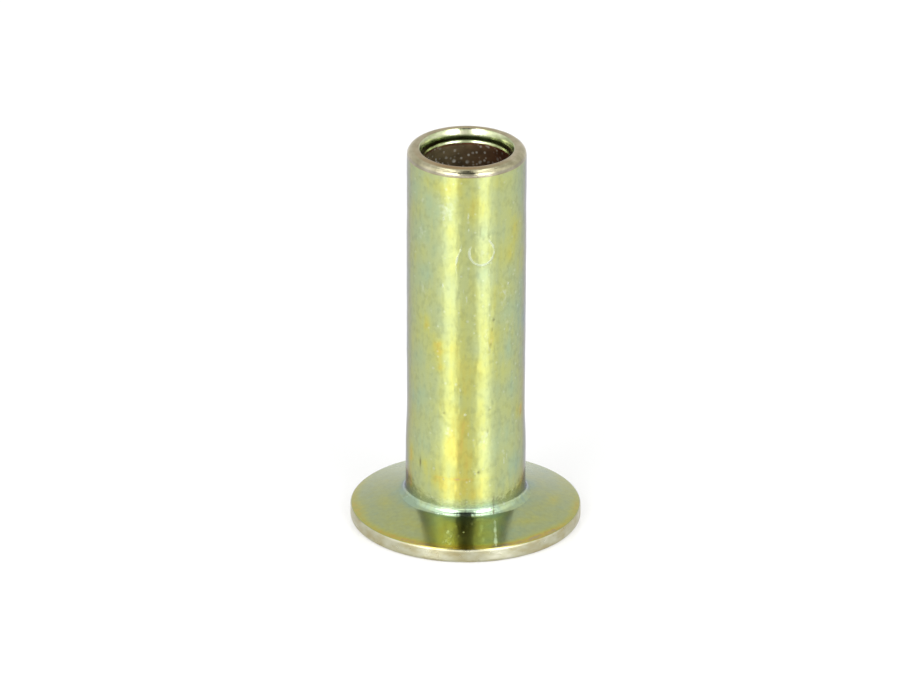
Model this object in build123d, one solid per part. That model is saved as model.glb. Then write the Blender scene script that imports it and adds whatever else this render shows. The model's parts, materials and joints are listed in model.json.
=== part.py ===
"""Brake lining rivet: a cold-headed steel rivet with a broad flat head and a blind hollow end.

The rivet stands on its head. +Z is its axis and points out of the hollow end. The origin is the
centre of the head's flat outer face. The rivet is one solid: half of its section is drawn in the
XZ plane and revolved once about the axis. Sizes are in millimetres and angles in degrees.
"""

from build123d import *

import math
import os

height = 27.0  # from the head's outer face to the hollow end's face

# Head: flat outside, with a low cone on the side that bears on the lining
head_diameter = 15.5
rim_thickness = 0.98  # at the head's edge, before its two corners are rounded
bearing_angle = 14.5  # slope of the bearing cone
outer_corner_radius = 0.25  # between the flat face and the rim
bearing_corner_radius = 0.17  # between the rim and the bearing cone
underhead_radius = 0.55  # fillet between the bearing cone and the shank

# Shank: a true cylinder as far as the bore reaches, then a slight taper to a waist, and a root
# that filled out in the die
shank_diameter = 8.0
waist_narrowing = 0.04  # how far the waist lies inside the cylinder, on the radius
root_swelling = 0.035  # how far the root stands out of the cylinder, on the radius
root_length = 3.25  # from the bearing cone to where the root begins to narrow
waist_length = 3.0  # over which the root narrows to the waist
end_corner_radius = 0.5  # outer corner of the hollow end

# Bore: a rounded mouth in two cones, a steeper throat, a small shoulder, then the wall down to its
# point. Each step is on the radius, and each depth is measured from the end face.
bore_wall = 1.1  # between the bore and the outside of the shank
bore_depth = 9.0  # to the start of the point
bore_point_angle = 120.0  # included angle of the blind end
shoulder_step = 0.06  # how far the shoulder's top stands out of the bore
shoulder_height = 0.2
throat_step = 0.02  # how far the throat's top stands out of the shoulder
throat_depth = 0.75  # to the foot of the throat
flare_step = 0.11  # how far the flare's top stands out of the throat
flare_depth = 0.5  # to the foot of the flare
lip_step = 0.11  # how far the mouth's lip stands out of the flare
lip_depth = 0.18  # to the foot of the lip

HEAD_R = head_diameter / 2
SHANK_R = shank_diameter / 2
ROOT_R = SHANK_R + root_swelling
WAIST_R = SHANK_R - waist_narrowing
BORE_R = SHANK_R - bore_wall
SHOULDER_R = BORE_R + shoulder_step
THROAT_R = SHOULDER_R + throat_step
FLARE_R = THROAT_R + flare_step
MOUTH_R = FLARE_R + lip_step

HEAD_THICKNESS = rim_thickness + (HEAD_R - ROOT_R) * math.tan(math.radians(bearing_angle))
ROOT_TOP = HEAD_THICKNESS + root_length
WAIST_TOP = ROOT_TOP + waist_length
BORE_FLOOR = height - bore_depth


def head_outline():
    """From the axis along the flat face, round the rim, over the bearing cone and up the root."""
    corners = [
        (0, 0),
        (HEAD_R, 0),
        (HEAD_R, rim_thickness),
        (ROOT_R, HEAD_THICKNESS),
        (ROOT_R, ROOT_TOP),
    ]
    radii = [outer_corner_radius, bearing_corner_radius, underhead_radius]
    FilletPolyline(*corners, radius=radii)


def waist_outline():
    """From the root to the waist by two equal arcs, then the long taper out to the cylinder."""
    middle = ((ROOT_R + WAIST_R) / 2, (ROOT_TOP + WAIST_TOP) / 2)
    TangentArc((ROOT_R, ROOT_TOP), middle, tangent=(0, 1))
    TangentArc((WAIST_R, WAIST_TOP), middle, tangent=(0, -1))
    Line((WAIST_R, WAIST_TOP), (SHANK_R, BORE_FLOOR))


def end_outline():
    """Up the cylinder and over its rounded corner to the mouth's lip."""
    FilletPolyline((SHANK_R, BORE_FLOOR), (SHANK_R, height), (MOUTH_R, height), radius=end_corner_radius)


def bore_outline():
    """From the end face down the lip, the flare, the throat, the shoulder and the bore."""
    point_depth = BORE_R / math.tan(math.radians(bore_point_angle / 2))
    shoulder_top = height - throat_depth
    Polyline(
        (MOUTH_R, height),
        (FLARE_R, height - lip_depth),
        (THROAT_R, height - flare_depth),
        (SHOULDER_R, shoulder_top),
        (BORE_R, shoulder_top - shoulder_height),
        (BORE_R, BORE_FLOOR),
        (0, BORE_FLOOR - point_depth),
        (0, 0),
    )


def make_rivet():
    """The whole rivet, revolved from half of its section."""
    with BuildPart() as rivet:
        with BuildSketch(Plane.XZ):
            with BuildLine():
                head_outline()
                waist_outline()
                end_outline()
                bore_outline()
            make_face()
        revolve(axis=Axis.Z)
    return rivet.part


os.makedirs("parts", exist_ok=True)
export_step(make_rivet(), "parts/rivet.step")
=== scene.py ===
"""Looks of the brake lining rivet: one turned mesh with a yellow zinc finish, on a white table.

The rivet's mesh, sizes and marks, and names that end in _MM, are in millimetres. The camera, the
lamps and the table are in metres, and angles are in degrees. Azimuth 0 faces the camera, and it
grows towards the camera's right.
"""

import json
import math
from types import SimpleNamespace

import bpy
import numpy as np
from mathutils import Matrix, Vector

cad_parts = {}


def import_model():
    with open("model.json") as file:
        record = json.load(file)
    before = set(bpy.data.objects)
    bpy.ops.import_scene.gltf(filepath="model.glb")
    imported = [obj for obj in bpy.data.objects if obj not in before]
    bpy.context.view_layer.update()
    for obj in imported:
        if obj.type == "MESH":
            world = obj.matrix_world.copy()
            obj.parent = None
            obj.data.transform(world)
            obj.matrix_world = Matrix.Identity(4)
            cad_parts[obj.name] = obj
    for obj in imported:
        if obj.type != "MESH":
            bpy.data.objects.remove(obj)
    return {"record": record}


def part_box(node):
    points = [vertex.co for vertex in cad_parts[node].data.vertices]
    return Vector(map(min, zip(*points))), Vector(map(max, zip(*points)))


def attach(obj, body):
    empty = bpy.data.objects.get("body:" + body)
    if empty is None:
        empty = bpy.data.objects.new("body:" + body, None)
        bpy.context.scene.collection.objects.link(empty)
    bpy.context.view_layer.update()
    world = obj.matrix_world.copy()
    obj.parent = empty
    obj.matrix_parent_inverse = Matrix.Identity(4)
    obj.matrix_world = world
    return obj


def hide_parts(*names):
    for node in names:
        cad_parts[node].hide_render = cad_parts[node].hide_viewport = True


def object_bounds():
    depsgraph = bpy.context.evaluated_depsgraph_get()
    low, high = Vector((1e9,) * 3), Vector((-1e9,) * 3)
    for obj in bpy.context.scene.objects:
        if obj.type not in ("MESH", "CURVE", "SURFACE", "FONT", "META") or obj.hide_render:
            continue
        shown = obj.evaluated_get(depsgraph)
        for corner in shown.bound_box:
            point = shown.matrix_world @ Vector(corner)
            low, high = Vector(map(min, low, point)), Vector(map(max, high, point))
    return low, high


MM = 0.001

# The mesh
SEGMENTS = 300
FRONT_CROWDING = 23  # degrees by which the segments are drawn towards the front
RING_PITCH = 0.125  # between the shank's rings
FINE_PITCH = 0.0625  # between those that carry the drop's ring
FINE_RINGS = (19.9, 22.5)  # the heights between which those lie
BORE_SEEN = 3.5  # how deep the camera sees into the bore, whose rings lie closer there

# The rivet's section: the same sizes as the part's source, with a rounded mouth
RIM_THICKNESS = 0.98
BEARING_ANGLE = 14.5
OUTER_CORNER = 0.25
BEARING_CORNER = 0.17
UNDERHEAD = 0.55
WAIST_NARROWING = 0.04
ROOT_SWELLING = 0.035
ROOT_LENGTH = 3.25
WAIST_LENGTH = 3.0
END_CORNER = 0.5
BORE_WALL = 1.1
BORE_DEPTH = 9.0
BORE_POINT_ANGLE = 120.0
SHOULDER_STEP = 0.06
SHOULDER_HEIGHT = 0.2
THROAT_STEP = 0.02
FLARE_STEP = 0.22
FLARE_DEPTH = 0.75

# Relief on the shank
WAVE_RADIUS = 4.0  # the radius at which the waves have their stated lengths
WAVE_HEIGHT = 0.0030
RIPPLE_HEIGHT = 0.0012
MARK_HEIGHT = 0.005  # of the dried drop's ring and of the curled scratch
# how deep the dark marks are sunk, nicks and the painted foot shade alike
DARK_MARK_DEPTH = 0.020
PIT_DEPTH = 0.010

# The dried drop's ring and the curled scratch on the shank
DROP_AZIMUTH = 15.0
DROP_HEIGHT = 21.05
DROP_HALF_WIDTH = 0.86
DROP_HALF_HEIGHT = 0.92
SCRATCH_AZIMUTH = -7.0
SCRATCH_HEIGHT = 20.7
SCRATCH_BEND = 0.20
SCRATCH_BEND_HEIGHT = 21.0

# Camera
VIEW_ELEVATION = 24.4
VIEW_DISTANCE = 1.1
VIEW_WIDTH_MM = 61.152  # what the picture's width takes in at the aim
AIM_HEIGHT = 0.504  # share of the rivet's height at which the camera aims, before the two offsets
AIM_RIGHT_MM = -0.64
AIM_UP_MM = -1.078
ROLL = 0.2

# Studio
WORLD_LIGHT = 0.35  # what the tent gives matt surfaces; it shows as 1
TABLE_HALF = 2.0
TABLE_GREY = 0.5
TABLE_LIFT = 0.45  # what the table glows where it is seen or mirrored, to show as white
LIGHT_DISTANCE = 0.5
OVERHEAD_HEIGHT = 0.55
CARD_DISTANCE = 0.6
CARD_LOW = 39  # elevation of the camera card's lower edge
CARD_HIGH = 97
CARD_LOW_HALF = 15.5  # half of the angle that the card covers at its lower edge
CARD_HIGH_HALF = 10

# Film colours, from a thin film to a thick one: green, gold, orange, then olive where it is thickest
FILM_COLOURS = [
    (0.00, (0.325, 0.43, 0.295)),
    (0.12, (0.37, 0.455, 0.26)),
    (0.26, (0.405, 0.46, 0.225)),
    (0.40, (0.435, 0.475, 0.19)),
    (0.53, (0.47, 0.485, 0.15)),
    (0.64, (0.51, 0.47, 0.112)),
    (0.74, (0.55, 0.43, 0.105)),
    (0.81, (0.46, 0.385, 0.19)),
    (0.90, (0.39, 0.41, 0.24)),
]

# Patches of thicker (+) or thinner (-) film on the shank, and painted shade at the foot: azimuth,
# height, half width, half height and change
FILM_PATCHES_AND_FOOT_SHADE = [
    (3, 11.5, 0.6, 1.8, 0.05),
    (-18, 8.5, 0.6, 3.0, 0.04),
    (18, 12.5, 0.6, 2.4, 0.12),
    (20, 3.6, 0.8, 0.9, 0.06),
    (-32, 4.0, 1.3, 0.6, 0.14),
    (57, 22.9, 0.60, 0.8, 0.15),
    (48, 21.6, 0.80, 1.5, 0.11),
    (44, 20.3, 0.45, 0.6, 0.12),
    (12, 8.2, 0.9, 2.2, 0.12),
    (-34, 10.8, 0.8, 1.2, 0.10),
    (-29, 14.0, 0.75, 0.9, 0.34),
    (-26, 12.6, 0.4, 0.5, 0.18),
    (-42, 15.6, 0.5, 0.7, 0.22),
    (33, 17.0, 0.5, 1.0, 0.18),
    (25, 14.6, 0.4, 0.8, 0.22),
    (65, 8.5, 0.5, 0.6, 0.40),
    (-66, 5.2, 0.5, 0.9, 0.30),
    (-46, 5.1, 0.4, 0.5, 0.30),
    # painted shade: these two turn the foot's sides dark brown, where the shank mirrors the head
    (-74, 3.2, 1.0, 0.9, 0.40),
    (74, 3.2, 1.0, 0.9, 0.40),
    (-8, 4.45, 2.2, 0.10, 0.12),
    (-30, 24.2, 1.0, 0.9, -0.08),
    (-45, 20.0, 1.0, 2.6, -0.07),
    (-52, 10.0, 0.8, 3.0, -0.08),
    (50, 12.5, 1.2, 3.4, -0.10),
    (58, 4.5, 0.9, 1.6, -0.14),
    (28, 23.4, 0.8, 1.8, -0.07),
    (-40, 25.8, 0.9, 0.5, 0.10),
    (40, 25.9, 1.0, 0.5, 0.08),
    (-12, 25.6, 0.9, 0.4, 0.08),
]

# Pale marks on the shank, such as scuffs, scratches and crumbs: azimuth, height, half width, half
# height and strength
PALE_MARKS = [
    (-17.5, 24.4, 0.80, 0.85, 0.40),
    (-21.5, 23.5, 0.50, 0.50, 0.36),
    (-49.0, 21.9, 0.40, 0.90, 0.42),
    (-45.0, 18.0, 0.50, 1.00, 0.30),
    (16.0, 21.0, 0.30, 0.45, 0.55),
    (18.5, 7.5, 0.40, 0.70, 0.46),
    (-18.0, 7.9, 0.30, 0.45, 0.46),
    (22.0, 14.5, 0.35, 1.20, 0.40),
    (38.0, 17.5, 0.60, 1.40, 0.36),
    (47.0, 15.4, 0.50, 1.20, 0.36),
    (1.7, 23.7, 0.06, 0.30, 0.90),
    (2.2, 22.7, 0.05, 0.22, 0.70),
    (-2.6, 18.2, 0.06, 0.20, 0.85),
    (0.4, 17.6, 0.06, 0.30, 0.80),
    (-2.9, 17.3, 0.14, 0.07, 0.80),
    (-23.2, 18.5, 0.06, 0.30, 0.85),
    (-36.0, 16.6, 0.07, 0.22, 0.80),
    (-43.4, 22.15, 0.09, 0.09, 1.00),
    (45.1, 18.4, 0.08, 0.09, 0.90),
    (40.0, 17.8, 0.07, 0.07, 0.80),
    (39.8, 15.1, 0.08, 0.08, 0.90),
    (25.2, 16.1, 0.08, 0.10, 0.80),
    (-5.5, 11.0, 0.10, 0.10, 1.00),
    (-0.4, 9.2, 0.10, 0.08, 1.00),
    (2.2, 7.75, 0.07, 0.17, 0.70),
    (0.0, 13.4, 0.06, 0.40, 0.55),
    (-1.9, 11.9, 0.05, 0.50, 0.50),
    (39.5, 5.5, 0.06, 0.30, 1.00),
    (42.7, 5.7, 0.05, 0.30, 0.70),
    (47.0, 5.1, 0.06, 0.22, 0.80),
    (3.8, 4.3, 0.07, 0.09, 0.80),
    (5.6, 5.3, 0.08, 0.08, 0.80),
]

# Pale and dark marks on the bearing cone, seen from above: x, y, half width, half length, strength.
# Of the pale ones, the row of dashes at x 2 and the long streaks at x -1.15 and about 1 are painted
# reflections of the shank's bright stripes, which the cone mirrors; the rest are specks.
CONE_SPECKS_AND_PAINTED_REFLECTIONS = [
    # painted reflection: a row of dashes where the cone mirrors a narrow bright streak of the shank
    (1.98, -4.75, 0.07, 0.22, 0.90),
    (2.00, -5.15, 0.05, 0.15, 0.50),
    (1.99, -5.60, 0.08, 0.30, 1.10),
    (2.03, -6.10, 0.06, 0.18, 0.80),
    (2.02, -6.70, 0.10, 0.32, 1.30),
    (2.05, -7.15, 0.05, 0.12, 0.60),
    # painted reflection of the shank's left stripe, with specks round it
    (-1.15, -6.25, 0.30, 0.90, 0.26),
    (-1.18, -5.85, 0.07, 0.12, 0.60),
    (-0.98, -6.30, 0.05, 0.16, 0.50),
    (-1.30, -6.75, 0.08, 0.14, 0.50),
    (-1.02, -7.05, 0.10, 0.10, 0.50),
    (-1.50, -6.90, 0.06, 0.20, 0.35),
    (-0.12, -5.92, 0.07, 0.08, 0.70),
    (-0.45, -6.30, 0.05, 0.12, 0.45),
    (-0.62, -5.35, 0.04, 0.12, 0.50),
    (0.42, -5.05, 0.05, 0.14, 0.45),
    (0.10, -5.35, 0.04, 0.10, 0.40),
    # painted reflections of the shank's right stripe
    (1.08, -5.50, 0.10, 0.50, 0.25),
    (1.20, -6.60, 0.12, 0.25, 0.30),
    (0.95, -6.10, 0.08, 0.30, 0.20),
]
CONE_DARK_MARKS = [
    (1.88, -3.76, 0.06, 0.22, 1.00),
    (0.00, -4.10, 0.05, 0.06, 0.70),
    (-0.15, -4.30, 0.05, 0.08, 0.70),
    (0.20, -4.35, 0.04, 0.08, 0.50),
]

# Dark marks on the shank, such as nicks and pits, and painted shade at both sides of the foot (the
# first two): azimuth, height, half width, half height and strength
DARK_MARKS_AND_FOOT_SHADE = [
    # painted shade: the dark wedges at the foot's sides, where the shank mirrors the head
    (-76.0, 3.30, 1.00, 0.70, 0.38),
    (76.0, 3.30, 1.00, 0.70, 0.38),
    (-49.0, 5.10, 0.07, 0.38, 1.00),
    (12.0, 4.94, 0.09, 0.09, 0.90),
    (27.6, 16.0, 0.08, 0.10, 0.90),
    (26.0, 15.3, 0.06, 0.12, 0.60),
    (24.5, 14.2, 0.07, 0.09, 0.60),
    (-21.9, 9.20, 0.08, 0.08, 0.60),
    (23.5, 9.45, 0.08, 0.08, 0.60),
    (22.0, 7.90, 0.06, 0.14, 0.50),
    (13.0, 22.6, 0.07, 0.35, 0.35),
    (16.5, 22.0, 0.12, 0.10, 0.30),
]


def main():
    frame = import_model()
    cad_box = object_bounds()
    build_rivet(frame)
    build_table()
    build_world()
    build_front_lights()
    build_side_lights()
    build_low_lights()
    build_overhead_lights()
    build_camera_card()
    build_camera(cad_box)


# ---------------------------------------------------------------- the section


def sizes_of(head_r, shank_r, height):
    """The sizes that the section, the relief and the film share."""
    root_r = shank_r + ROOT_SWELLING
    bore_r = shank_r - BORE_WALL
    throat_r = bore_r + SHOULDER_STEP + THROAT_STEP
    return SimpleNamespace(
        head_r=head_r,
        shank_r=shank_r,
        height=height,
        root_r=root_r,
        bore_r=bore_r,
        throat_r=throat_r,
        mouth_r=throat_r + FLARE_STEP,
        neck=RIM_THICKNESS + (head_r - root_r) * math.tan(math.radians(BEARING_ANGLE)),
    )


def line(start, end, steps):
    """Points from start to end, without start."""
    a, b = np.array(start), np.array(end)
    return [tuple(a + (b - a) * i / steps) for i in range(1, steps + 1)]


def fillet(start, corner, end, radius, steps):
    """Points round the corner between start and end: an arc of that radius that touches both sides."""
    c = np.array(corner)
    u, v = np.array(start) - c, np.array(end) - c
    u, v = u / np.linalg.norm(u), v / np.linalg.norm(v)
    half = math.acos(float(u @ v)) / 2
    middle = c + (u + v) / np.linalg.norm(u + v) * radius / math.sin(half)
    a = c + u * radius / math.tan(half) - middle
    b = c + v * radius / math.tan(half) - middle
    sweep = math.pi - 2 * half
    points = []
    for i in range(steps + 1):
        t = i / steps
        spoke = a * math.sin((1 - t) * sweep) + b * math.sin(t * sweep)
        points.append(tuple(middle + spoke / math.sin(sweep)))
    return points


def s_curve(start, end, steps):
    """Points of a gentle S from start to end, upright at both ends, without start."""
    points = []
    for i in range(1, steps + 1):
        t = i / steps
        s = t * t * (3 - 2 * t)
        points.append((start[0] + (end[0] - start[0]) * s, start[1] + (end[1] - start[1]) * t))
    return points


def flare(mouth_r, throat_r, height, steps):
    """The mouth's wall: an arc that leans out at the end face and stands upright at the throat."""
    lean = 2 * math.atan((mouth_r - throat_r) / FLARE_DEPTH)
    radius = FLARE_DEPTH / math.sin(lean)
    points = []
    for i in range(1, steps + 1):
        a = lean * (1 - i / steps)
        depth = FLARE_DEPTH - radius * math.sin(a)
        points.append((throat_r + radius * (1 - math.cos(a)), height - depth))
    return points


def rings_for(length, pitch=RING_PITCH):
    """How many steps of about that pitch make up the length."""
    return max(2, round(length / pitch))


def head_section(sizes):
    """Parts of the section as (zone, points), from the flat face to the top of the fillet."""
    foot, edge = (sizes.head_r, 0), (sizes.head_r, RIM_THICKNESS)
    neck, root = (sizes.root_r, sizes.neck), (sizes.root_r, sizes.neck + ROOT_LENGTH)
    rim_low = (sizes.head_r, OUTER_CORNER)
    rim_high = (sizes.head_r, RIM_THICKNESS - BEARING_CORNER)
    outer = fillet((0, 0), foot, edge, OUTER_CORNER, 6)
    bearing = fillet(foot, edge, neck, BEARING_CORNER, 5)
    under = fillet(edge, neck, root, UNDERHEAD, 12)
    return [
        ("face", line((0, 0), outer[0], 6)),
        ("rim", outer[1:]),
        ("rim", line(rim_low, rim_high, 3)),
        ("rim", bearing[1:4]),
        ("cone", bearing[4:]),
        ("cone", line(bearing[-1], under[0], 28)),
        ("shank", under[1:]),
    ]


def shank_section(sizes, fillet_top):
    """Parts of the section up the root, the waist and the cylinder and over the rounded end."""
    root_r, waist_r, shank_r = sizes.root_r, sizes.shank_r - WAIST_NARROWING, sizes.shank_r
    root_top = sizes.neck + ROOT_LENGTH
    waist_top = root_top + WAIST_LENGTH
    bore_floor = sizes.height - BORE_DEPTH
    fine_low, fine_high = FINE_RINGS
    fine_rings = rings_for(fine_high - fine_low, FINE_PITCH)
    end = fillet((shank_r, 0), (shank_r, sizes.height), (0, sizes.height), END_CORNER, 8)
    return [
        ("shank", line(fillet_top, (root_r, root_top), rings_for(root_top - fillet_top[1]))),
        ("shank", s_curve((root_r, root_top), (waist_r, waist_top), rings_for(WAIST_LENGTH))),
        ("shank", line((waist_r, waist_top), (shank_r, bore_floor), rings_for(bore_floor - waist_top))),
        ("shank", line((shank_r, bore_floor), (shank_r, fine_low), rings_for(fine_low - bore_floor))),
        ("shank", line((shank_r, fine_low), (shank_r, fine_high), fine_rings)),
        ("shank", line((shank_r, fine_high), end[0], rings_for(end[0][1] - fine_high))),
        ("end", end[1:]),
        ("end", line(end[-1], (sizes.mouth_r, sizes.height), 4)),
    ]


def bore_section(sizes):
    """Parts of the section from the mouth down the flare, the shoulder and the bore to its point."""
    throat_r, bore_r, height = sizes.throat_r, sizes.bore_r, sizes.height
    shoulder = height - FLARE_DEPTH
    bore_top = shoulder - SHOULDER_HEIGHT
    bore_floor = height - BORE_DEPTH
    point = bore_floor - bore_r / math.tan(math.radians(BORE_POINT_ANGLE / 2))
    return [
        ("mouth", flare(sizes.mouth_r, throat_r, height, 10)),
        ("mouth", line((throat_r, shoulder), (bore_r, bore_top), 3)),
        ("bore", line((bore_r, bore_top), (bore_r, height - BORE_SEEN), 14)),
        ("bore", line((bore_r, height - BORE_SEEN), (bore_r, bore_floor), 6)),
        ("bore", line((bore_r, bore_floor), (0, point), 4)),
    ]


def section(sizes):
    """Half of the section as (radius, height, zone), from the flat face to the bore's point."""
    head = head_section(sizes)
    fillet_top = head[-1][1][-1]
    rings = [(0.0, 0.0, "face")]
    for zone, points in head + shank_section(sizes, fillet_top) + bore_section(sizes):
        rings += [(r, z, zone) for r, z in points]
    return rings


# ---------------------------------------------------------------- relief and film


def bump(distance, width):
    """A soft spot: 1 where the distance is 0, and falling off over the width."""
    return np.exp(-((distance / width) ** 2))


def facing(azimuth):
    """1 in front, 0.5 at the sides and 0 at the back."""
    return 0.5 + 0.5 * np.cos(np.radians(azimuth))


def leftness(azimuth):
    """1 at the left, 0 in front and at the back, and -1 at the right."""
    return -np.sin(np.radians(azimuth))


def turn_from(azimuth, centre):
    """Degrees from centre to azimuth, between -180 and 180."""
    return (azimuth - centre + 180) % 360 - 180


def across(azimuth, centre, radius):
    """Millimetres round the surface from centre to azimuth."""
    return np.radians(turn_from(azimuth, centre)) * radius


def ripples(azimuth, z, count, longest, shortest, seed):
    """A smooth field of about -1 to 1 made of waves that close up round the axis."""
    rng = np.random.default_rng(seed)
    total = np.zeros(np.broadcast(azimuth, z).shape)
    for _ in range(count):
        length = longest * (shortest / longest) ** rng.random()
        slant = rng.uniform(0, 2 * math.pi)
        turns = round(2 * math.pi * WAVE_RADIUS / length * math.cos(slant))
        along = 2 * math.pi / length * math.sin(slant)
        phase = rng.uniform(0, 2 * math.pi)
        total = total + np.sin(turns * np.radians(azimuth) + along * z + phase)
    return total / math.sqrt(count / 2)


def shank_marks(marks, azimuth, z, radius):
    """The sum of soft spots, each given by azimuth, height, half width, half height and strength."""
    total = np.zeros(np.broadcast(azimuth, z).shape)
    for centre, height, half_width, half_height, strength in marks:
        u = across(azimuth, centre, radius) / half_width
        total = total + strength * np.exp(-(u**2) - ((z - height) / half_height) ** 2)
    return total


def cone_marks(marks, azimuth, r):
    """The sum of soft spots, each given by x, y, half width, half length and strength."""
    x, y = r * np.sin(np.radians(azimuth)), -r * np.cos(np.radians(azimuth))
    total = np.zeros(x.shape)
    for u, v, half_width, half_length, strength in marks:
        total = total + strength * np.exp(-(((x - u) / half_width) ** 2) - ((y - v) / half_length) ** 2)
    return total


def drop_ring(azimuth, z, radius):
    """The ring that a dried drop left, open at its top left."""
    u = across(azimuth, DROP_AZIMUTH, radius) / DROP_HALF_WIDTH
    v = (z - DROP_HEIGHT) / DROP_HALF_HEIGHT
    open_top = np.clip((v - 0.3) / 0.3, 0, 1) * np.clip((0.7 - u) / 0.3, 0, 1)
    return bump(np.hypot(u, v) - 1, 0.11) * (1 - 0.9 * open_top)


def curled_scratch(azimuth, z, radius):
    """An upright scratch that bends sideways half way up."""
    bend = SCRATCH_BEND * np.tanh((z - SCRATCH_BEND_HEIGHT) * 2)
    return bump(across(azimuth, SCRATCH_AZIMUTH, radius) - bend, 0.08) * bump(z - SCRATCH_HEIGHT, 1.0)


def pits(azimuth, z, radius, count, low, high, seed, spread=180, centre=0):
    """Small round pits, sunk up to 1, over a band of heights and a range of azimuths."""
    rng = np.random.default_rng(seed)
    total = np.zeros(azimuth.shape)
    for _ in range(count):
        a, h = centre + rng.uniform(-spread, spread), rng.uniform(low, high)
        size = rng.uniform(0.06, 0.12)
        u = across(azimuth, a, radius)
        near = (np.abs(u) < 0.3) & (np.abs(z - h) < 0.3)
        total[near] += rng.uniform(0.3, 1) * bump(np.hypot(u, z - h)[near], size)
    return total


def shank_relief(azimuth, z, radius):
    """Height of what stands out of the shank (+) or is sunk into it (-)."""
    relief = WAVE_HEIGHT * ripples(azimuth, z, 14, longest=5.0, shortest=2.0, seed=3)
    relief = relief + RIPPLE_HEIGHT * ripples(azimuth, z, 60, longest=1.6, shortest=0.5, seed=4)
    relief = relief + MARK_HEIGHT * drop_ring(azimuth, z, radius)
    relief = relief + MARK_HEIGHT * curled_scratch(azimuth, z, radius)
    relief = relief - DARK_MARK_DEPTH * shank_marks(DARK_MARKS_AND_FOOT_SHADE, azimuth, z, radius)
    holes = pits(azimuth, z, radius, 320, 2.6, 26.4, seed=21)
    holes = holes + pits(azimuth, z, radius, 26, 13.5, 17.0, seed=22, spread=9, centre=26)
    return relief - PIT_DEPTH * holes


def shank_film(azimuth, z, radius):
    """Thickness of the chromate film on the shank, where 0 is thin and 1 is thick; painted shade at the
    foot's sides thickens it.
    """
    film = 0.27 + 0.05 * np.clip((13.5 - z) / 6, 0, 1)
    gold_band = (0.18 + 0.08 * bump(z - 11, 5)) * bump(across(azimuth, -6, radius), 1.35)
    film = film + gold_band
    film = film + 0.05 * ripples(azimuth, z, 16, longest=9.0, shortest=1.6, seed=11)
    ragged = 1 + 0.25 * ripples(azimuth, z, 12, longest=2.0, shortest=0.6, seed=13)
    return film + shank_marks(FILM_PATCHES_AND_FOOT_SHADE, azimuth, z, radius) * ragged


def head_film(azimuth, r, sizes):
    """The film on the head is thin in the fillet and pools at the rim, most of all in front."""
    out = (r - sizes.root_r) / (sizes.head_r - sizes.root_r)
    front = facing(azimuth)
    film = 0.30 + (0.05 + 0.06 * front) * np.clip((out - 0.3) / 0.65, 0, 1)
    thin_streak = 0.20 * bump(turn_from(azimuth, 23), 12) * np.clip((0.9 - out) / 0.1, 0, 1)
    film = film - thin_streak
    film = film + (0.05 + 0.40 * front**2) * bump(out - 0.94, 0.085)
    film = film - 0.30 * bump(out - 0.03, 0.11)
    film = film + 0.06 * ripples(azimuth, 3 * r, 10, longest=7.0, shortest=2.0, seed=12)
    return np.minimum(film, 0.76)


def end_tint(azimuth, r, mouth_r):
    """Share of brown on the end face: at the back, and on the flat part in front, more to the left."""
    back = 1 - facing(azimuth)
    flat = np.clip((mouth_r + 0.48 - r) / 0.12, 0, 1)
    in_front = (0.78 + 0.3 * leftness(azimuth)) * facing(azimuth) ** 3 * flat
    return np.clip(0.12 + 0.35 * back**2 + in_front, 0, 1)


def bore_crystals(azimuth):
    """Share of pale crystals in the bore: more on the wall's left than on its right."""
    return np.clip(0.65 + 0.55 * leftness(azimuth), 0, 1)


def throat_shade(azimuth, depth):
    """Painted shade on the throat below the mouth's flare; it starts higher up on the left."""
    start = 0.41 - 0.12 * np.clip(leftness(azimuth), 0, 1)
    return np.clip((depth - start) / 0.08, 0, 1) * np.clip((FLARE_DEPTH + 0.04 - depth) / 0.05, 0, 1)


def above_fillet(z, zone, sizes):
    """Share of the shank's own marks: 0 at the neck, and 1 from where the fillet has ended."""
    return np.clip((z - sizes.neck) / 0.6, 0, 1) * (zone == "shank")


def near_head(r, z, sizes):
    """True on the head and at the shank's foot, where the head's film fades into the shank's."""
    return (z < sizes.neck + 1.1) & (r > sizes.root_r - 0.02)


def film_at(azimuth, r, z, zone, sizes):
    """Thickness of the film on the shank and the cone, and share of brown on the end face."""
    on_shank = shank_film(azimuth, z, sizes.shank_r)
    rise = np.clip((z - sizes.neck - 0.2) / 0.9, 0, 1)
    on_foot = head_film(azimuth, r, sizes) * (1 - rise) + on_shank * rise
    film = np.where(near_head(r, z, sizes), on_foot, on_shank)
    film = np.where(zone == "end", end_tint(azimuth, r, sizes.mouth_r), film)
    return np.where(zone == "rim", 0.10, film)


def pale_at(azimuth, r, z, zone, sizes):
    """Strength of the pale marks, and on the cone of a painted lighter back and painted reflections; in
    the bore, the share of crystals.
    """
    on_shank = shank_marks(PALE_MARKS, azimuth, z, sizes.shank_r)
    shapes = drop_ring(azimuth, z, sizes.shank_r) + curled_scratch(azimuth, z, sizes.shank_r)
    pale = above_fillet(z, zone, sizes) * (on_shank + 0.95 * shapes)
    # painted light: the cone's back is lighter, as it mirrors the bright table at a grazing angle
    painted_back_light = 0.5 * (1 - facing(azimuth)) ** 4
    pale = np.where(zone == "cone", painted_back_light + cone_marks(CONE_SPECKS_AND_PAINTED_REFLECTIONS, azimuth, r), pale)
    return np.where(zone == "bore", bore_crystals(azimuth), pale)


def dark_at(azimuth, r, z, zone, sizes):
    """Strength of the dark marks and the painted shade at the shank's foot, of the thin ring round the
    end and of the throat's painted shade.
    """
    dark = above_fillet(z, zone, sizes) * shank_marks(DARK_MARKS_AND_FOOT_SHADE, azimuth, z, sizes.shank_r)
    dark = dark + (zone == "end") * 0.55 * bump(z - sizes.height + 0.36, 0.07)
    dark = dark + near_head(r, z, sizes) * cone_marks(CONE_DARK_MARKS, azimuth, r)
    return np.where(zone == "mouth", throat_shade(azimuth, sizes.height - z), dark)


# ---------------------------------------------------------------- the mesh


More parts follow.
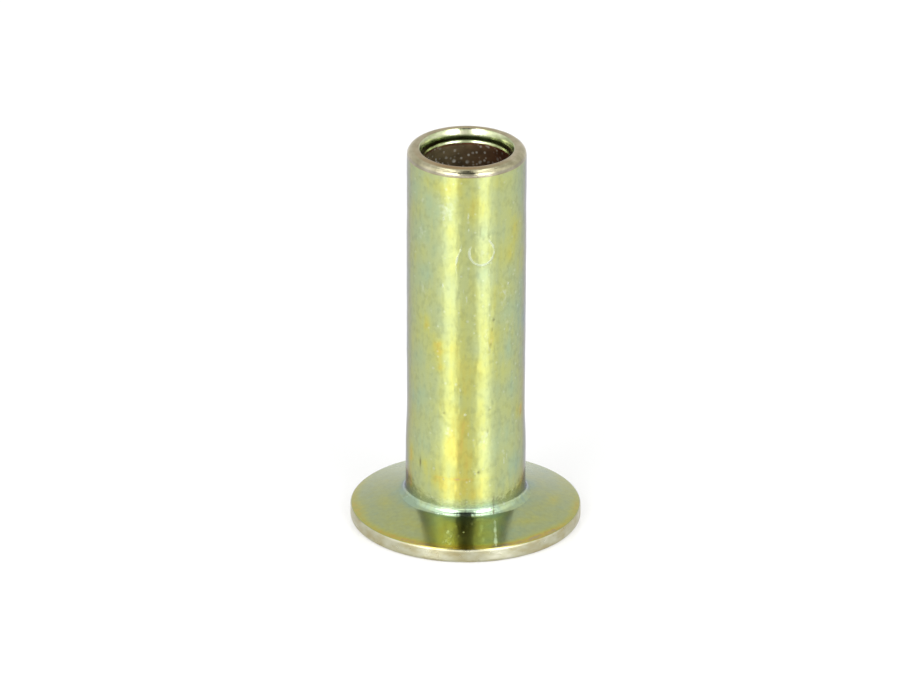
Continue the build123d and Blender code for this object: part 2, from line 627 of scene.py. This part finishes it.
def turned(rings, sizes):
    """Vertices of every ring in metres, with their relief, and the attributes of each vertex."""
    turn = np.arange(SEGMENTS) * 360 / SEGMENTS
    turn = turn - FRONT_CROWDING * np.sin(np.radians(turn))
    azimuth = np.repeat(turn[None, :], len(rings), 0)
    r = np.repeat(np.array([ring[0] for ring in rings])[:, None], SEGMENTS, 1)
    z = np.repeat(np.array([ring[1] for ring in rings])[:, None], SEGMENTS, 1)
    zone = np.array([ring[2] for ring in rings])[:, None]
    fields = {
        "film": film_at(azimuth, r, z, zone, sizes),
        "pale": pale_at(azimuth, r, z, zone, sizes),
        "dark": dark_at(azimuth, r, z, zone, sizes),
    }
    surface = r + above_fillet(z, zone, sizes) * shank_relief(azimuth, z, sizes.shank_r)
    angle = np.radians(azimuth)
    return np.stack([surface * np.sin(angle), -surface * np.cos(angle), z], -1) * MM, fields


def turned_faces(rings):
    """Faces between the rings, and the zone of each; the first and the last ring are one point."""
    starts = [1 + i * SEGMENTS for i in range(len(rings) - 2)]
    last = starts[-1] + SEGMENTS
    turns = [(j, (j + 1) % SEGMENTS) for j in range(SEGMENTS)]
    faces = [(0, starts[0] + k, starts[0] + j) for j, k in turns]
    for low, high in zip(starts, starts[1:]):
        faces += [(low + j, low + k, high + k, high + j) for j, k in turns]
    faces += [(starts[-1] + j, starts[-1] + k, last) for j, k in turns]
    zones = [zone for _, _, zone in rings[1:] for _ in turns]
    return faces, zones


def once_at_ends(grid):
    """The values of every ring in a row, with one for the first ring and one for the last."""
    middle = grid[1:-1].reshape(-1, *grid.shape[2:])
    return np.concatenate([grid[0, :1], middle, grid[-1, :1]])


def turned_mesh(name, rings, sizes):
    """A closed mesh turned from the rings, and the zone of each face."""
    points, fields = turned(rings, sizes)
    faces, zones = turned_faces(rings)
    mesh = bpy.data.meshes.new(name)
    mesh.from_pydata(once_at_ends(points), [], faces)
    mesh.polygons.foreach_set("use_smooth", [True] * len(faces))
    for field, values in fields.items():
        attribute = mesh.attributes.new(field, "FLOAT", "POINT")
        attribute.data.foreach_set("value", once_at_ends(values).astype(np.float32))
    mesh.update()
    return mesh, zones


def give_finishes(mesh, zones):
    """Each zone's finish; the flat face has the end's."""
    finishes = {
        "shank": shank_zinc(),
        "cone": cone_zinc(),
        "mouth": mouth_zinc(),
        "rim": rim_zinc(),
        "end": matt_zinc(),
        "bore": bore_zinc(),
    }
    for finish in finishes.values():
        mesh.materials.append(finish)
    places = {zone: place for place, zone in enumerate(finishes)}
    places["face"] = places["end"]
    mesh.polygons.foreach_set("material_index", [places[zone] for zone in zones])


def build_rivet(frame):
    """The rivet's one piece, in place of the CAD solid."""
    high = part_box("rivet")[1]
    shank = next(m for m in frame["record"]["mounts"] if m["name"] == "shank")
    sizes = sizes_of(high.x / MM, shank["dims"]["r_mm"], high.z / MM)
    mesh, zones = turned_mesh("rivet_zinc", section(sizes), sizes)
    rivet = bpy.data.objects.new("rivet_zinc", mesh)
    bpy.context.scene.collection.objects.link(rivet)
    give_finishes(mesh, zones)
    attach(rivet, "root")
    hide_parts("rivet")


# ---------------------------------------------------------------- finishes


class Finish:
    """A material, with short names for the nodes that it is made of."""

    def __init__(self, name):
        self.material = bpy.data.materials.new(name)
        self.material.use_nodes = True
        self.nodes = self.material.node_tree.nodes
        self.links = self.material.node_tree.links
        self.shader = self.nodes["Principled BSDF"]

    def put(self, value, socket):
        """A link from a socket, or a plain value."""
        if isinstance(value, bpy.types.NodeSocket):
            self.links.new(value, socket)
        else:
            socket.default_value = value

    def maths(self, operation, a, b=0.0, clamp=False):
        node = self.nodes.new("ShaderNodeMath")
        node.operation = operation
        node.use_clamp = clamp
        self.put(a, node.inputs[0])
        self.put(b, node.inputs[1])
        return node.outputs[0]

    def place(self, across, along):
        """Object coordinates in millimetres, divided by a size across and one along the axis."""
        coordinates = self.nodes.new("ShaderNodeTexCoord")
        scaled = self.nodes.new("ShaderNodeVectorMath")
        scaled.operation = "MULTIPLY"
        self.links.new(coordinates.outputs["Object"], scaled.inputs[0])
        scaled.inputs[1].default_value = (1 / across / MM, 1 / across / MM, 1 / along / MM)
        return scaled.outputs[0]

    def noise(self, across, along, detail=2.0, roughness=0.5):
        """Noise of about 0.3 to 0.7, whose features have that size in millimetres."""
        node = self.nodes.new("ShaderNodeTexNoise")
        self.links.new(self.place(across, along), node.inputs["Vector"])
        node.inputs["Scale"].default_value = 1
        node.inputs["Detail"].default_value = detail
        node.inputs["Roughness"].default_value = roughness
        return node.outputs["Fac"]

    def spread(self, value, low, high, to_low=0.0, to_high=1.0):
        """From to_low to to_high as the value goes from low to high; past those it stops."""
        node = self.nodes.new("ShaderNodeMapRange")
        self.put(value, node.inputs["Value"])
        node.inputs["From Min"].default_value = low
        node.inputs["From Max"].default_value = high
        node.inputs["To Min"].default_value = to_low
        node.inputs["To Max"].default_value = to_high
        return node.outputs["Result"]

    def ramp(self, value, stops):
        node = self.nodes.new("ShaderNodeValToRGB")
        elements = node.color_ramp.elements
        while len(elements) < len(stops):
            elements.new(0.5)
        for element, (position, colour) in zip(elements, stops):
            element.position = position
            element.color = (*colour, 1)
        self.put(value, node.inputs[0])
        return node.outputs[0]

    def mix(self, share, a, b):
        """From colour a to colour b as the share goes from 0 to 1; past those it stops."""
        node = self.nodes.new("ShaderNodeMix")
        node.data_type = "RGBA"
        self.put(share, node.inputs["Factor"])
        self.put(a if isinstance(a, bpy.types.NodeSocket) else (*a, 1), node.inputs[6])
        self.put(b if isinstance(b, bpy.types.NodeSocket) else (*b, 1), node.inputs[7])
        return node.outputs[2]

    def dots(self, cell, radius, share):
        """Round dots, 1 inside: one in each cell that a random number picks."""
        node = self.nodes.new("ShaderNodeTexVoronoi")
        self.links.new(self.place(cell, cell), node.inputs["Vector"])
        node.inputs["Scale"].default_value = 1
        inside = self.spread(node.outputs["Distance"], radius / cell, 0.5 * radius / cell)
        split = self.nodes.new("ShaderNodeSeparateColor")
        self.links.new(node.outputs["Color"], split.inputs[0])
        return self.maths("MULTIPLY", inside, self.maths("LESS_THAN", split.outputs[0], share))

    def attribute(self, name):
        """One of the fields that the mesh carries."""
        node = self.nodes.new("ShaderNodeAttribute")
        node.attribute_name = name
        return node.outputs["Fac"]

    def metal(self, colour, roughness):
        self.put(colour, self.shader.inputs["Base Color"])
        self.put(roughness, self.shader.inputs["Roughness"])
        self.shader.inputs["Metallic"].default_value = 1

    def relief(self, height, depth_mm):
        """A bump of that depth, where the height goes from 0 to 1."""
        node = self.nodes.new("ShaderNodeBump")
        node.inputs["Strength"].default_value = 1
        node.inputs["Distance"].default_value = depth_mm * MM
        self.put(height, node.inputs["Height"])
        self.links.new(node.outputs["Normal"], self.shader.inputs["Normal"])


def film_colour(finish, wander):
    """Zinc seen through the chromate film, whose thickness wanders, mottles and runs in streaks."""
    patches = finish.spread(finish.noise(2.6, 3.6, 3), 0, 1, -wander, wander)
    mottles = finish.spread(finish.noise(0.6, 1.0, 3), 0, 1, -0.11, 0.11)
    streaks = finish.spread(finish.noise(0.3, 3.0, 2), 0, 1, -0.12, 0.12)
    film = finish.attribute("film")
    for change in (patches, mottles, streaks):
        film = finish.maths("ADD", film, change)
    return finish.ramp(film, FILM_COLOURS)


def shade(finish, colour, value, low, high):
    """The colour times low to high, as the value goes from 0.3 to 0.7; it is never lightened."""
    return finish.mix(finish.spread(value, 0.3, 0.7, low, high), (0, 0, 0), colour)


def shank_zinc():
    """Zinc under a chromate film, drawn smooth: green to gold, with scuffs, crumbs, nicks and pits, and
    painted shade at the foot's sides.
    """
    finish = Finish("zinc_bright")
    colour = shade(finish, film_colour(finish, 0.22), finish.noise(0.34, 0.45, 2), 0.88, 1.10)
    grit = finish.spread(finish.noise(0.28, 0.34, 3), 0.3, 0.7, -0.34, 0.34)
    scuffs = finish.spread(finish.maths("ADD", finish.attribute("pale"), grit), 0.30, 0.85)
    crumbs = finish.maths("MAXIMUM", finish.dots(0.5, 0.10, 0.32), finish.dots(0.8, 0.13, 0.35))
    pale = finish.maths("MAXIMUM", scuffs, finish.maths("MULTIPLY", crumbs, 0.55))
    colour = finish.mix(finish.maths("MULTIPLY", pale, 0.5), colour, (0.60, 0.67, 0.56))
    # dark: nicks and pits, and painted shade at the foot's sides
    dark = finish.maths("MULTIPLY", finish.attribute("dark"), 0.85)
    colour = finish.mix(dark, colour, (0.12, 0.11, 0.05))
    gloss = finish.spread(finish.noise(0.8, 1.6, 3), 0.25, 0.75, 0.12, 0.20)
    finish.metal(colour, finish.maths("ADD", gloss, finish.maths("MULTIPLY", pale, 0.16)))
    grain = finish.maths("ADD", finish.noise(0.32, 0.9, 2), finish.noise(0.44, 0.50, 2))
    finish.relief(finish.maths("ADD", grain, finish.maths("MULTIPLY", pale, 0.4)), 0.0105)
    finish.shader.inputs["Specular Tint"].default_value = (0.66, 0.62, 0.78, 1)
    return finish.material


def cone_zinc():
    """The same film on the bearing cone, which the die left smooth, with painted light at its back and
    painted reflections of the shank's stripes.
    """
    finish = Finish("zinc_cone")
    colour = shade(finish, film_colour(finish, 0.07), finish.noise(0.3, 0.3, 3), 0.77, 0.85)
    grit = finish.spread(finish.noise(0.24, 0.24, 3), 0.3, 0.7, 0.7, 1.3)
    # pale: specks and marks, a painted lighter back and painted reflections of the shank's stripes
    pale = finish.maths("MULTIPLY", finish.attribute("pale"), grit, clamp=True)
    colour = finish.mix(finish.maths("MULTIPLY", pale, 0.6), colour, (0.66, 0.80, 0.62))
    colour = finish.mix(finish.attribute("dark"), colour, (0.10, 0.11, 0.07))
    gloss = finish.spread(finish.noise(1.0, 1.0, 3), 0.25, 0.75, 0.13, 0.19)
    finish.metal(colour, finish.maths("ADD", gloss, finish.maths("MULTIPLY", pale, 0.35)))
    finish.relief(finish.noise(0.4, 0.4, 3), 0.003)
    finish.shader.inputs["Specular Tint"].default_value = (0.92, 0.90, 1.0, 1)
    return finish.material


def mouth_zinc():
    """The mouth's wall: pale, with green in it, and nearly black in the throat, which is painted shade.
    """
    finish = Finish("zinc_mouth")
    stops = [(0.35, (0.33, 0.36, 0.20)), (0.50, (0.42, 0.46, 0.28)), (0.65, (0.52, 0.52, 0.36))]
    colour = finish.ramp(finish.noise(0.9, 0.3, 3), stops)
    # painted shade in the throat
    colour = finish.mix(finish.attribute("dark"), colour, (0.10, 0.13, 0.05))
    finish.metal(colour, finish.spread(finish.noise(0.5, 0.5, 3), 0.25, 0.75, 0.16, 0.26))
    finish.relief(finish.noise(0.3, 0.3, 3), 0.008)
    return finish.material


def rim_zinc():
    """The head's edge: beige to silver in blotches, the gold worn off its corners."""
    finish = Finish("zinc_rim")
    stops = [
        (0.32, (0.36, 0.315, 0.17)),
        (0.46, (0.40, 0.375, 0.24)),
        (0.58, (0.44, 0.43, 0.305)),
        (0.72, (0.50, 0.49, 0.38)),
    ]
    colour = finish.ramp(finish.noise(1.3, 0.6, 3), stops)
    finish.metal(colour, finish.spread(finish.noise(0.4, 0.3, 3), 0.3, 0.7, 0.26, 0.40))
    finish.relief(finish.noise(0.5, 0.4, 3), 0.008)
    return finish.material


def matt_zinc():
    """The same plating on sheared and struck metal: cream to grey in blotches, with brown in it."""
    finish = Finish("zinc_matt")
    stops = [
        (0.30, (0.27, 0.25, 0.16)),
        (0.45, (0.35, 0.34, 0.22)),
        (0.60, (0.43, 0.41, 0.28)),
        (0.75, (0.52, 0.49, 0.37)),
    ]
    colour = finish.ramp(finish.noise(0.9, 0.6, 4, 0.6), stops)
    colour = finish.mix(finish.attribute("film"), colour, (0.26, 0.155, 0.045))
    colour = finish.mix(finish.attribute("dark"), colour, (0.16, 0.14, 0.16))
    finish.metal(colour, finish.spread(finish.noise(0.3, 0.3, 3), 0.3, 0.7, 0.14, 0.26))
    finish.relief(finish.noise(0.3, 0.3, 3), 0.006)
    return finish.material


def bore_zinc():
    """The bore's wall, where the plating is thin: dark, brown and rough, with pale crystals."""
    finish = Finish("zinc_bore")
    share = finish.attribute("pale")
    brown = finish.mix(share, (0.10, 0.015, 0.005), (0.27, 0.22, 0.12))
    colour = shade(finish, brown, finish.noise(0.9, 0.6, 3), 0.55, 1.15)
    crystals = finish.maths("MAXIMUM", finish.dots(0.28, 0.11, 0.8), finish.dots(0.45, 0.17, 0.5))
    crystals = finish.maths("MULTIPLY", crystals, finish.spread(finish.noise(0.6, 0.6, 2), 0.38, 0.54))
    colour = finish.mix(finish.maths("MULTIPLY", crystals, share), colour, (0.90, 0.90, 0.82))
    finish.metal(colour, 0.55)
    finish.relief(finish.noise(0.3, 0.3, 3), 0.012)
    return finish.material


# ---------------------------------------------------------------- the studio


def seen_or_mirrored(nodes, links):
    """1 for camera, glossy and transmission rays, and 0 for the rest."""
    path = nodes.new("ShaderNodeLightPath")
    result = path.outputs["Is Camera Ray"]
    for name in ("Is Glossy Ray", "Is Transmission Ray"):
        either = nodes.new("ShaderNodeMath")
        either.operation = "MAXIMUM"
        links.new(result, either.inputs[0])
        links.new(path.outputs[name], either.inputs[1])
        result = either.outputs[0]
    return result


def build_world():
    """A white tent, dimmer for matt surfaces than it looks."""
    world = bpy.data.worlds.new("tent")
    bpy.context.scene.world = world
    world.use_nodes = True
    nodes, links = world.node_tree.nodes, world.node_tree.links
    background = nodes["Background"]
    background.inputs["Color"].default_value = (1, 1, 1, 1)
    level = nodes.new("ShaderNodeMapRange")
    links.new(seen_or_mirrored(nodes, links), level.inputs["Value"])
    level.inputs["To Min"].default_value = WORLD_LIGHT
    level.inputs["To Max"].default_value = 1
    links.new(level.outputs["Result"], background.inputs["Strength"])
    bpy.context.scene.view_settings.view_transform = "Standard"


def build_table():
    """A glossy grey table, which glows to white where it is seen or mirrored."""
    corners = [(-1, -1, 0), (1, -1, 0), (1, 1, 0), (-1, 1, 0)]
    mesh = bpy.data.meshes.new("table")
    mesh.from_pydata([Vector(corner) * TABLE_HALF for corner in corners], [], [(0, 1, 2, 3)])
    table = bpy.data.objects.new("table", mesh)
    bpy.context.scene.collection.objects.link(table)
    finish = Finish("white_table")
    shader = finish.shader
    shader.inputs["Base Color"].default_value = (TABLE_GREY, TABLE_GREY, TABLE_GREY, 1)
    shader.inputs["Roughness"].default_value = 0.1
    shader.inputs["IOR"].default_value = 1.5
    shader.inputs["Emission Color"].default_value = (1, 1, 1, 1)
    seen = seen_or_mirrored(finish.nodes, finish.links)
    finish.put(finish.maths("MULTIPLY", seen, TABLE_LIFT), shader.inputs["Emission Strength"])
    mesh.materials.append(finish.material)


def direction(azimuth, elevation=0.0):
    """A unit vector from the rivet."""
    a, e = math.radians(azimuth), math.radians(elevation)
    return Vector((math.sin(a) * math.cos(e), -math.cos(a) * math.cos(e), math.sin(e)))


def area_light(name, width, height, brightness):
    """A rectangular lamp that looks as bright as that at any size, where 1 is white."""
    lamp = bpy.data.lights.new(name, "AREA")
    lamp.shape = "RECTANGLE"
    lamp.size, lamp.size_y = width, height
    lamp.energy = brightness * math.pi * width * height
    holder = bpy.data.objects.new(name, lamp)
    bpy.context.scene.collection.objects.link(holder)
    return holder


def soften(lamp, sideways, upward):
    """Brightness over the lamp, as (place, share) stops from 0 to 1 across it and up it."""
    lamp.use_nodes = True
    nodes, links = lamp.node_tree.nodes, lamp.node_tree.links
    split = nodes.new("ShaderNodeSeparateXYZ")
    links.new(nodes.new("ShaderNodeNewGeometry").outputs["Parametric"], split.inputs[0])
    strength = nodes.new("ShaderNodeMath")
    strength.operation = "MULTIPLY"
    for axis, stops in enumerate((sideways, upward)):
        ramp = nodes.new("ShaderNodeValToRGB")
        while len(ramp.color_ramp.elements) < len(stops):
            ramp.color_ramp.elements.new(1)
        for element, (place, share) in zip(ramp.color_ramp.elements, stops):
            element.position, element.color = place, (share, share, share, 1)
        links.new(split.outputs[axis], ramp.inputs[0])
        links.new(ramp.outputs[0], strength.inputs[axis])
    links.new(strength.outputs[0], nodes["Emission"].inputs["Strength"])


def panel_light(name, sideways, upward, brightness):
    """An upright soft light. Its stops are (azimuth, share) and (elevation, share) from the rivet."""
    middle = (sideways[0][0] + sideways[-1][0]) / 2
    offsets = [LIGHT_DISTANCE * math.tan(math.radians(a - middle)) for a, _ in sideways]
    heights = [LIGHT_DISTANCE * math.tan(math.radians(e)) for e, _ in upward]
    width, height = offsets[-1] - offsets[0], heights[-1] - heights[0]
    across_stops = [((o - offsets[0]) / width, share) for o, (_, share) in zip(offsets, sideways)]
    upward_stops = [((h - heights[0]) / height, share) for h, (_, share) in zip(heights, upward)]
    holder = area_light(name, width, height, brightness)
    out = direction(middle)
    holder.location = out * LIGHT_DISTANCE + Vector((0, 0, (heights[0] + heights[-1]) / 2))
    holder.rotation_mode = "QUATERNION"
    holder.rotation_quaternion = out.to_track_quat("Z", "Y")
    soften(holder.data, across_stops, upward_stops)


def overhead_light(name, sideways, front, back, brightness):
    """A level soft light from front to back. Its stops are (x, share)."""
    left, right = sideways[0][0], sideways[-1][0]
    across_stops = [((x - left) / (right - left), share) for x, share in sideways]
    holder = area_light(name, right - left, back - front, brightness)
    holder.location = ((left + right) / 2, (front + back) / 2, OVERHEAD_HEIGHT)
    soften(holder.data, across_stops, [(0, 1), (1, 1)])


def mirrored(stops):
    """The same stops on the other side of the rivet."""
    return [(-place, share) for place, share in reversed(stops)]


def build_camera_card():
    """A dark strip above the camera: the gap in the highlights on the end and the fillet."""
    steps = 10
    verts, faces = [], []
    for i in range(steps + 1):
        arc = direction(0, CARD_LOW + (CARD_HIGH - CARD_LOW) * i / steps) * CARD_DISTANCE
        half_angle = CARD_LOW_HALF + (CARD_HIGH_HALF - CARD_LOW_HALF) * i / steps
        half = CARD_DISTANCE * math.sin(math.radians(half_angle))
        verts += [(-half, arc.y, arc.z), (half, arc.y, arc.z)]
    for i in range(steps):
        faces.append((2 * i, 2 * i + 1, 2 * i + 3, 2 * i + 2))
    mesh = bpy.data.meshes.new("camera_card")
    mesh.from_pydata(verts, [], faces)
    card = bpy.data.objects.new("camera_card", mesh)
    bpy.context.scene.collection.objects.link(card)
    cloth = Finish("dark_cloth")
    cloth.shader.inputs["Base Color"].default_value = (0.02, 0.02, 0.02, 1)
    cloth.shader.inputs["Roughness"].default_value = 1
    mesh.materials.append(cloth.material)
    card.visible_camera = False


def build_front_lights():
    """The two panels that the shank shows as its bright stripes."""
    upward = [(12, 0), (18, 1), (42, 1), (47, 0.3), (52, 0)]
    left = [(-64, 0), (-58, 0.22), (-47, 0.36), (-40, 0.8), (-33, 1), (-24, 0.95), (-17, 0.4), (-11, 0)]
    right = [(13, 0), (20, 0.25), (26, 0.75), (32, 1), (41, 1), (46, 0.5), (54, 0.24), (64, 0)]
    panel_light("left_soft_light", left, upward, 8.1)
    panel_light("right_soft_light", right, upward, 7.7)


def build_side_lights():
    """Two dim panels for the shank's sides."""
    upward = [(0.5, 0.2), (8, 0.3), (20, 0.5), (45, 0.5), (60, 0.2)]
    panel_light("left_side_light", [(-112, 0), (-95, 0.5), (-80, 1), (-62, 1)], upward, 1.5)
    panel_light("right_side_light", [(66, 1), (85, 1), (100, 0.5), (112, 0)], upward, 1.2)


def build_low_lights():
    """Two strips just above the table, which the shank's foot sees mirrored in the cone."""
    upward = [(0.5, 1), (4, 1), (7, 0)]
    sideways = [(0, 0.6), (20, 0.6), (26, 1), (44, 1), (49, 0.5), (58, 0.3), (64, 0.1)]
    panel_light("right_low_light", sideways, upward, 3.6)
    panel_light("left_low_light", mirrored(sideways), upward, 3.6)


def build_overhead_lights():
    """Two pairs of level strips, which the fillet and the end's rounded corner mirror."""
    near = [(0.06, 0), (0.09, 0.6), (0.12, 1), (0.17, 1), (0.20, 0.3), (0.22, 0)]
    far = [(0.16, 0), (0.20, 0.8), (0.24, 0.7), (0.30, 0.45), (0.42, 0.25), (0.46, 0)]
    overhead_light("right_near_overhead_light", near, -0.22, 0.20, 3)
    overhead_light("left_near_overhead_light", mirrored(near), -0.22, 0.20, 3)
    overhead_light("right_far_overhead_light", far, -0.24, -0.03, 3)
    overhead_light("left_far_overhead_light", mirrored(far), -0.24, -0.03, 3)


def build_camera(cad_box):
    """A long lens at the photographed angle."""
    back = direction(0, VIEW_ELEVATION)
    right = Vector((1, 0, 0))
    up = back.cross(right)
    aim = Vector((0, 0, cad_box[1].z * AIM_HEIGHT)) + (right * AIM_RIGHT_MM + up * AIM_UP_MM) * MM
    data = bpy.data.cameras.new("camera")
    data.sensor_width = 36
    data.lens = data.sensor_width * VIEW_DISTANCE / (VIEW_WIDTH_MM * MM)
    data.clip_start, data.clip_end = 0.05, 10
    camera = bpy.data.objects.new("camera", data)
    bpy.context.scene.collection.objects.link(camera)
    axes = Matrix((right, up, back)).transposed().to_4x4()
    turn = Matrix.Rotation(math.radians(ROLL), 4, back)
    camera.matrix_world = Matrix.Translation(aim + back * VIEW_DISTANCE) @ turn @ axes
    bpy.context.scene.camera = camera


main()
